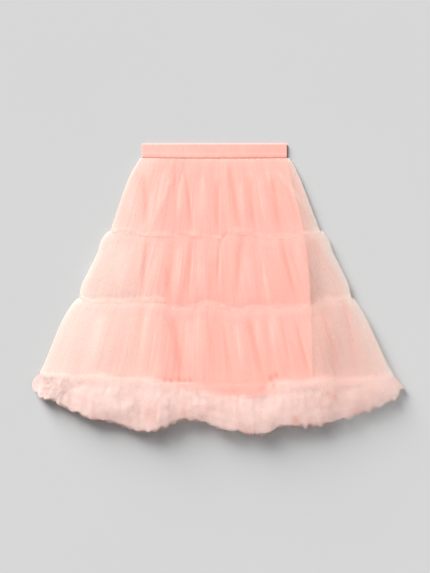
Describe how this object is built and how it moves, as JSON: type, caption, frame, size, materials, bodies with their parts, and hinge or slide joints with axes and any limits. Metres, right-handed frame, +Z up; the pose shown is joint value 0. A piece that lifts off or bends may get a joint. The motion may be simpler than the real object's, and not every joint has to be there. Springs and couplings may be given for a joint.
{
  "type": "tulle skirt, laid flat",
  "caption": "Tiered tulle skirt laid flat, with an elasticated waistband, gathered tiers, an opaque lining and a full ruffle round the hem.",
  "frame": {"origin": "on the surface that the skirt lies on, under the middle of its bounding box", "axes": "+X across the skirt, towards its right side as seen from above; +Y from the hem up to the waist; +Z up from the surface"},
  "size_m": [0.844, 0.6582, 0.052],
  "materials": {
    "waistband": "satin, gathered over elastic",
    "lining": "smooth woven, opaque",
    "tulle": "sheer soft net, matt",
    "ruffle_tulle": "sheer soft net in many crumpled layers, matt"
  },
  "bodies": {
    "root": {"waistband_front": "waistband", "waistband_back": "waistband", "lining_front": "lining", "lining_back": "lining", "tier_1_front": "tulle", "tier_1_back": "tulle", "tier_2_front": "tulle", "tier_2_back": "tulle", "tier_3_front": "tulle", "tier_3_back": "tulle", "heading_2": "tulle", "heading_3": "tulle", "hem_ruffle_front": "ruffle_tulle", "hem_ruffle_back": "ruffle_tulle"}
  },
  "joints": []
}
